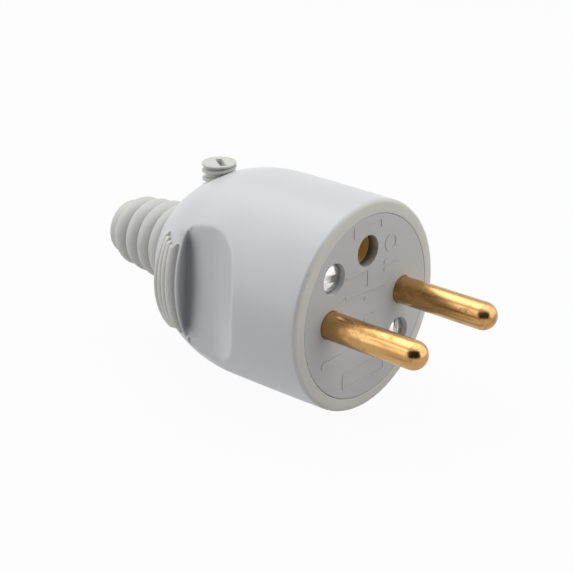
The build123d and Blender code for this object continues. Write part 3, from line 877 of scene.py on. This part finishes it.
def make_housing():
    """Closed bell: rows of depth and radius over the angle round the axis, from the neck forwards over the
    outside to the rim, then back along the inside."""
    angle = angles_round()
    side_cos, sine = np.abs(np.cos(angle)), np.sin(angle)
    rows = outside_rows(side_cos, sine) + rim_rows(angle) + inside_rows(side_cos, sine)
    depths, radii, matte = (np.array(part) for part in zip(*rows))
    rings = np.stack([radii * np.cos(angle), depths, radii * sine], -1)
    obj = make_mesh("plug_housing", lattice(rings, closed_path=True), sharp_angle=60.0)
    for label, mask in (("matte", matte), ("shade", housing_shade(depths, radii, side_cos, sine))):
        attribute = obj.data.attributes.new(label, "FLOAT", "POINT")
        attribute.data.foreach_set("value", mask.astype(np.float32).ravel())
    cutter = make_drill("clamp_hole_cutter", clamp_hole_r, 0, clamp_depth, clamp_hole_cut, clamp_hole_columns)
    cut_away(obj, cutter)
    dress(obj, grey_housing, "housing")


def make_clamp_boss():
    """Tube round the clamp screw inside the housing; its top follows the dome a little below its surface."""
    angle = span(0, 2 * math.pi, clamp_hole_columns)
    rings = []
    path = ((clamp_boss_r, False), (clamp_boss_r, True), (clamp_hole_r, True), (clamp_hole_r, False))
    for r, at_top in path:
        x, depth = r * np.cos(angle), clamp_depth + r * np.sin(angle)
        under_dome = np.sqrt(outline_radius(depth) ** 2 - x**2) - boss_below_dome
        rings.append(np.stack([x, depth, under_dome if at_top else np.full_like(x, clamp_boss_foot)], -1))
    boss = make_mesh("clamp_screw_boss", lattice(np.array(rings), closed_path=True), sharp_angle=40.0)
    dress(boss, grey_housing, "housing")


# Bend sleeve
def make_sleeve():
    """Turned sleeve: a profile of r, depth points with rounded rings, each a low power of a sine, whose
    radius falls evenly along the sleeve."""
    taper = (first_ring_r - last_ring_r) / (ring_count - 1)
    rings_start = first_ring_depth - ring_pitch / 2
    rings_end = rings_start + ring_count * ring_pitch
    outside = []
    for i in range(ring_count):
        phase = span(0, 1, sleeve_ring_rows)
        crest = first_ring_r - i * taper - (phase - 0.5) * taper
        swell = np.sin(phase * math.pi) ** ring_lobe_power
        depths = rings_start + (i + phase) * ring_pitch
        outside.append(np.stack([crest - ring_height * (1 - swell), depths], -1))
    front = rounded_profile([
        (sleeve_bore_r, sleeve_front, 0),
        (sleeve_flange_r, sleeve_front, sleeve_flange_round),
        (sleeve_flange_r, bulkhead_depth, sleeve_flange_round),
        (sleeve_collar_r, bulkhead_depth, sleeve_collar_round),
        (sleeve_collar_r, rings_start - sleeve_collar_gap, 0),
    ])
    tip = rounded_profile([
        (last_ring_r - taper / 2 - ring_height, rings_end + end_ring_step / 2, 0),
        (end_ring_r - end_ring_step, rings_end + end_ring_step, end_ring_step_round),
        (end_ring_r, rings_end + end_ring_shoulder, end_ring_shoulder_round),
        (end_ring_r, sleeve_end, end_ring_round),
        (sleeve_bore_r, sleeve_end, sleeve_mouth_round),
        (sleeve_bore_r, sleeve_front + sleeve_bore_start, 0),
    ])
    profile = np.concatenate([front, *outside, tip])
    shell = lattice(rings_along_y(profile, 0, 0, sleeve_columns), closed_path=True)
    obj = make_mesh("ribbed_bend_sleeve", shell, sharp_angle=60.0)
    dress(obj, soft_sleeve, "bend_sleeve")


# Clamp screw
def clamp_thread_rings(angle, thread_top):
    """Helix: the radius rises from root to crest by the phase of height over pitch less the angle."""
    thread_foot = clamp_foot + clamp_tip_height
    heights = span(thread_foot, thread_top, clamp_thread_rows)[:, None]
    phase = np.mod((heights - thread_top) / clamp_pitch - angle / (2 * math.pi) + thread_start, 1.0)
    ridge = smooth_step(ridge_width - np.abs(phase - 0.5) * ridge_steepness)
    lead_in = smooth_step((heights - thread_foot) / lead_in_run)
    run_out = smooth_step((thread_top - heights) / run_out_run)
    radius = clamp_root_r + (clamp_crest_r - clamp_root_r) * ridge * lead_in * run_out
    return np.stack([radius * np.cos(angle), radius * np.sin(angle), heights + 0 * angle], -1)


def clamp_top_rings(angle):
    """Rings of the top disc, which pass from the circle to the slot's edge, then of the slot's wall and
    floor. The slot is a closed rounded rectangle, a superellipse of a high power, that stands a little
    ahead of the screw's axis and has a narrower waist below its edge."""
    turn = angle - math.radians(slot_turn)
    along = (np.abs(np.cos(turn)) / (slot_length / 2)) ** slot_corner_power
    across = (np.abs(np.sin(turn)) / (slot_width / 2)) ** slot_corner_power
    slot_r = (along + across) ** (-1 / slot_corner_power)
    rings = []
    for share in span(first_top_share, 1, 6, last=True):
        r = (clamp_crest_r - head_rim_width) * (1 - share) + (slot_r + slot_edge_width) * share
        rings.append((r, slot_shift * share, clamp_top))
    # Share of the slot's size, change of its radius, and how far below the top
    levels = (
        (1, 0.02, 0.02),
        (1, 0, 0.08),
        (1, 0, 0.32),
        (slot_waist, 0, 0.36),
        (slot_waist, -0.02, slot_depth - 0.1),
        (slot_waist, -0.08, slot_depth),
        (0.4, 0, slot_depth),
    )
    for size, inward, down in levels:
        rings.append((slot_r * size + inward, slot_shift * max(size, slot_waist), clamp_top - down))
    return np.array([
        np.stack([r * np.cos(angle), shift + r * np.sin(angle), np.full_like(angle, height)], -1)
        for r, shift, height in rings
    ])


def make_clamp_screw():
    """Headless screw: rounded tip, helical thread, top disc with a closed slot."""
    angle = span(0, 2 * math.pi, clamp_columns)
    thread_top = clamp_top - clamp_head_thick
    tip = rounded_profile([
        (clamp_tip_pole_r, clamp_foot, 0),
        (clamp_root_r - clamp_tip_narrowing, clamp_foot, clamp_tip_round),
        (clamp_root_r, clamp_foot + clamp_tip_height, 0),
    ])
    head = rounded_profile([
        (clamp_root_r, thread_top - head_foot_gap, 0),
        (clamp_crest_r, thread_top + head_foot_rise, head_foot_round),
        (clamp_crest_r, clamp_top, head_top_round),
        (clamp_crest_r - head_rim_width, clamp_top, 0),
    ])
    rings = np.concatenate([
        rings_along_z(tip, 0, 0, clamp_columns),
        clamp_thread_rings(angle, thread_top),
        rings_along_z(head, 0, 0, clamp_columns),
        clamp_top_rings(angle),
    ])
    rings[..., 1] += clamp_depth
    slot_middle = (0, clamp_depth + slot_shift * slot_waist, clamp_top - slot_depth)
    shell = lattice(rings, first_pole=(0, clamp_depth, clamp_foot), last_pole=slot_middle)
    obj = make_mesh("threaded_clamp_screw", shell, sharp_angle=40.0)
    dress(obj, pale_clamp, "cable_clamp_screw", body="clamp_screw")


# Pins
def make_pin(name, node, x, screw_side):
    """Turned pin: domed tip, shank, neck and seat behind the face plate, flange, barrel and wire hole. The
    hole for the terminal screw is drilled into the barrel from below or above."""
    tip = span(0, math.pi / 2, 14)
    dome = np.stack([pin_r * np.sin(tip), pin_r - pin_reach - pin_r * np.cos(tip)], -1)[1:]
    wire_hole_end = pin_back - wire_hole_depth
    body = rounded_profile([
        (pin_r, pin_r - pin_reach, 0),
        (pin_r, 0, 0),
        (pin_neck_r, 0, 0),
        (pin_neck_r, pin_seat_sink, 0),
        (pin_seat_r, pin_seat_sink, pin_seat_round),
        (pin_seat_r, carrier_plate, 0),
        (flange_r, carrier_plate, flange_round),
        (flange_r, flange_back, flange_round),
        (barrel_r, flange_back, barrel_root_round),
        (barrel_r, pin_back, barrel_end_round),
        (wire_hole_r, pin_back, wire_hole_mouth_round),
        (wire_hole_r, wire_hole_end, wire_hole_end_round),
        (wire_hole_pole_r, wire_hole_end, 0),
    ], steps=4)
    rings = rings_along_y(np.concatenate([dome, body]), x, 0, pin_columns)
    shell = lattice(rings, first_pole=(x, -pin_reach, 0), last_pole=(x, wire_hole_end, 0))
    obj = make_mesh(name, shell, sharp_angle=40.0)
    heights = (0.0, screw_side * terminal_drill_length)
    depth = pin_back - terminal_screw_back
    cut_away(obj, make_drill(name + "_drill", terminal_screw_hole_r, x, depth, heights, drill_columns))
    dress(obj, worn_brass, node)


# Face screws
def slot_cutter(name, x, z, top, slot_turn):
    """Bar across a screw's head, turned by an angle in degrees, that reaches down to the slot's floor."""
    turn = math.radians(slot_turn)
    along, across = np.array([math.cos(turn), math.sin(turn)]), np.array([-math.sin(turn), math.cos(turn)])
    half_long, half_wide = face_head_r + slot_cutter_overrun, face_slot_width / 2
    sides = ((1, 1), (-1, 1), (-1, -1), (1, -1))
    corners = [along * a * half_long + across * b * half_wide for a, b in sides]
    above, below = top - slot_cutter_top, top + face_slot_depth
    bar = np.array([[[x + c[0], level, z + c[1]] for c in corners] for level in (above, below)])
    return make_mesh(name, lattice(bar, first_pole=(x, above, z), last_pole=(x, below, z)))


def make_face_screw(name, node, slot_turn):
    """Turned pan head with a crown and a rounded edge, over a shank whose radius waves as a sine for the
    thread; a bar is cut from the head for the slot."""
    low, high = box_mm(node)
    x, z, top, foot = (low[0] + high[0]) / 2, (low[2] + high[2]) / 2, low[1], high[1]
    crown = span(crown_pole_share, 1, 8, last=True)
    edge_r = face_head_r - face_head_round
    crown_points = np.stack([edge_r * crown, top + face_head_crown * crown**2], -1)
    bend = span(0, math.pi / 2, 8, last=True)[1:]
    edge = np.stack([edge_r + face_head_round * np.sin(bend),
                     top + face_head_crown + face_head_round * (1 - np.cos(bend))], -1)
    under = top + face_head_thick
    waves = span(under + thread_head_gap, foot - thread_tip_gap, face_thread_rows, last=True)
    thread = shank_r - thread_height * (0.5 - 0.5 * np.cos((waves - under) / thread_pitch * 2 * math.pi))
    seat = np.array([[face_head_r, under], [shank_r, under]])
    tip = np.array([[shank_tip_r, foot]])
    profile = np.concatenate([crown_points, edge, seat, np.stack([thread, waves], -1), tip])
    rings = rings_along_y(profile, x, z, face_screw_columns)
    shell = lattice(rings, first_pole=(x, top, z), last_pole=(x, foot, z))
    obj = make_mesh(name, shell, sharp_angle=40.0)
    cut_away(obj, slot_cutter(name + "_slot", x, z, top, slot_turn))
    softened = obj.modifiers.new("soften", "BEVEL")
    softened.width = slot_edge_bevel * MM
    softened.segments = slot_edge_segments
    softened.limit_method = "ANGLE"
    softened.angle_limit = math.radians(slot_edge_angle)
    settle(obj)
    dress(obj, zinc_plate, node)


make_housing()
make_clamp_boss()
make_sleeve()
make_clamp_screw()
make_pin("left_contact_pin", "left_pin", -pin_x, screw_side=-1)
make_pin("right_contact_pin", "right_pin", pin_x, screw_side=1)
make_face_screw("upper_slotted_screw", "upper_face_screw", upper_slot_turn)
make_face_screw("lower_slotted_screw", "lower_face_screw", lower_slot_turn)

# Carried-over CAD nodes
node_materials = {
    "contact_carrier": grey_carrier,
    "contact_retainer": grey_carrier,
    "earth_socket": lining_brass,
    "upper_screw_insert": worn_brass,
    "lower_screw_insert": worn_brass,
    "earth_spring_ring": zinc_plate,
    "left_terminal_screw": zinc_plate,
    "right_terminal_screw": zinc_plate,
    "earth_terminal_screw": zinc_plate,
}
for node, material in node_materials.items():
    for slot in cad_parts[node].material_slots:
        slot.material = material


# Camera, solved from the pins' bases and tips in the photograph. Places from here on are in metres
def look_along(to_right, upwards, line, place):
    """Matrix of a camera or lamp at a place that looks along a line."""
    turn = np.eye(4)
    turn[:3] = np.stack([to_right, upwards, -line, place], -1)
    return Matrix(turn.tolist())


def aim(place, target):
    """Unit vectors to the right, upwards and along the line from a place to a target."""
    line = np.array(target) - np.array(place)
    line = line / np.linalg.norm(line)
    to_right = np.cross(line, (0, 0, 1))
    to_right = to_right / np.linalg.norm(to_right)
    return to_right, np.cross(to_right, line), line


camera_place = np.array([-0.17181, -0.13367, 0.09877])
camera_lens = 90.42
sensor_width = 36.0
nearest_seen = 0.01
dark_card_distance = 1.5
view_line = np.array([0.6873, 0.6059, -0.4006])
view_right = np.array([0.6592, -0.7520, -0.0064])
middle = (0, 0.018, 0)


def make_camera():
    """Camera whose picture plane is squared up from the solved line of view and direction to the right."""
    data = bpy.data.cameras.new("camera")
    data.sensor_width = sensor_width
    data.lens = camera_lens
    data.clip_start = nearest_seen
    line = view_line / np.linalg.norm(view_line)
    upwards = np.cross(view_right, line)
    upwards /= np.linalg.norm(upwards)
    camera = bpy.data.objects.new("camera", data)
    camera.matrix_world = look_along(np.cross(line, upwards), upwards, line, camera_place)
    bpy.context.scene.collection.objects.link(camera)
    bpy.context.scene.camera = camera


# Floor and light
def sees_background(tree):
    """1 for rays that should see the white background: camera, glossy and transmission rays."""
    path = tree.nodes.new("ShaderNodeLightPath").outputs
    seen = combine(tree, "MAXIMUM", path["Is Camera Ray"], path["Is Glossy Ray"])
    return combine(tree, "MAXIMUM", seen, path["Is Transmission Ray"])


def mix_shaders(tree, share, first, second, target):
    """Mix of two shaders by a share, joined to a target input."""
    mix = tree.nodes.new("ShaderNodeMixShader")
    for socket, value in zip(mix.inputs, (share, first, second)):
        feed(tree, socket, value)
    feed(tree, target, mix.outputs["Shader"])


def flat_paint(name, colour, roughness):
    """Material without any gloss; gives back the material, its node tree and the shader."""
    material, tree, shader = new_material(name)
    feed(tree, shader.inputs["Base Color"], colour)
    feed(tree, shader.inputs["Roughness"], roughness)
    feed(tree, shader.inputs["Specular IOR Level"], 0.0)
    return material, tree, shader


def make_sheet(name, corners, material):
    """Flat sheet with four corners in metres."""
    mesh = bpy.data.meshes.new(name)
    mesh.from_pydata([tuple(corner) for corner in corners], [], [(0, 1, 2, 3)])
    mesh.materials.append(material)
    sheet = bpy.data.objects.new(name, mesh)
    bpy.context.scene.collection.objects.link(sheet)
    return sheet


def make_floor():
    """Square floor under the belly; rays that see the background find it almost white, less its shadow."""
    half, background_share = 0.9, 0.95
    level = -belly_r * MM
    corners = [(-half, -half, level), (half, -half, level), (half, half, level), (-half, half, level)]
    material, tree, shader = flat_paint("floor_white", colour=(0.6, 0.6, 0.61), roughness=0.9)
    glow = tree.nodes.new("ShaderNodeEmission")
    feed(tree, glow.inputs["Color"], (1, 1, 1))
    share = combine(tree, "MULTIPLY", sees_background(tree), background_share)
    surface = tree.nodes["Material Output"].inputs["Surface"]
    mix_shaders(tree, share, shader.outputs["BSDF"], glow.outputs["Emission"], surface)
    floor = make_sheet("floor", corners, material)


def make_world():
    """White for rays that see the background, a plain grey as light on the plug."""
    world = bpy.data.worlds.new("studio")
    world.use_nodes = True
    bpy.context.scene.world = world
    tree = world.node_tree
    plain = tree.nodes["Background"]
    feed(tree, plain.inputs["Color"], (0.95, 0.97, 1.0))
    feed(tree, plain.inputs["Strength"], 0.06)
    white = tree.nodes.new("ShaderNodeBackground")
    feed(tree, white.inputs["Color"], (1, 1, 1))
    surface = tree.nodes["World Output"].inputs["Surface"]
    backgrounds = (plain.outputs["Background"], white.outputs["Background"])
    mix_shaders(tree, sees_background(tree), *backgrounds, surface)


def make_dark_card(name, place, target, width, height):
    """Dark card that only reflections see: the unlit room behind the camera."""
    to_right, upwards, _ = aim(place, target)
    corners = [np.array(place) + a * to_right * width / 2 + b * upwards * height / 2
               for a, b in ((-1, -1), (1, -1), (1, 1), (-1, 1))]
    card = make_sheet(name, corners, flat_paint("unlit_room", colour=(0.03, 0.03, 0.03), roughness=1.0)[0])
    card.visible_camera = False
    card.visible_diffuse = False
    card.visible_shadow = False
    card.visible_transmission = False


def make_lamp(name, place, width, height, power):
    """Rectangular lamp turned to the middle of the plug; power in watts."""
    data = bpy.data.lights.new(name, "AREA")
    data.shape = "RECTANGLE"
    data.size, data.size_y = width, height
    data.energy = power
    lamp = bpy.data.objects.new(name, data)
    bpy.context.scene.collection.objects.link(lamp)
    lamp.matrix_world = look_along(*aim(place, middle), place)


make_camera()
make_floor()
make_world()
make_lamp("top_light", (0.1, 0.03, 0.44), width=0.5, height=0.45, power=1.15)
make_lamp("back_light", (0.0, 0.32, 0.40), width=0.4, height=0.4, power=0.75)
make_lamp("left_back_light", (-0.30, 0.37, 0.19), width=0.45, height=0.45, power=1.0)
make_lamp("right_front_light", (0.32, -0.35, 0.25), width=0.8, height=0.8, power=2.15)
make_lamp("left_light", (-0.45, -0.06, 0.10), width=0.35, height=0.35, power=0.17)
make_dark_card("room_behind_camera", camera_place * dark_card_distance, middle, width=0.75, height=0.45)

bpy.context.scene.view_settings.view_transform = "Standard"
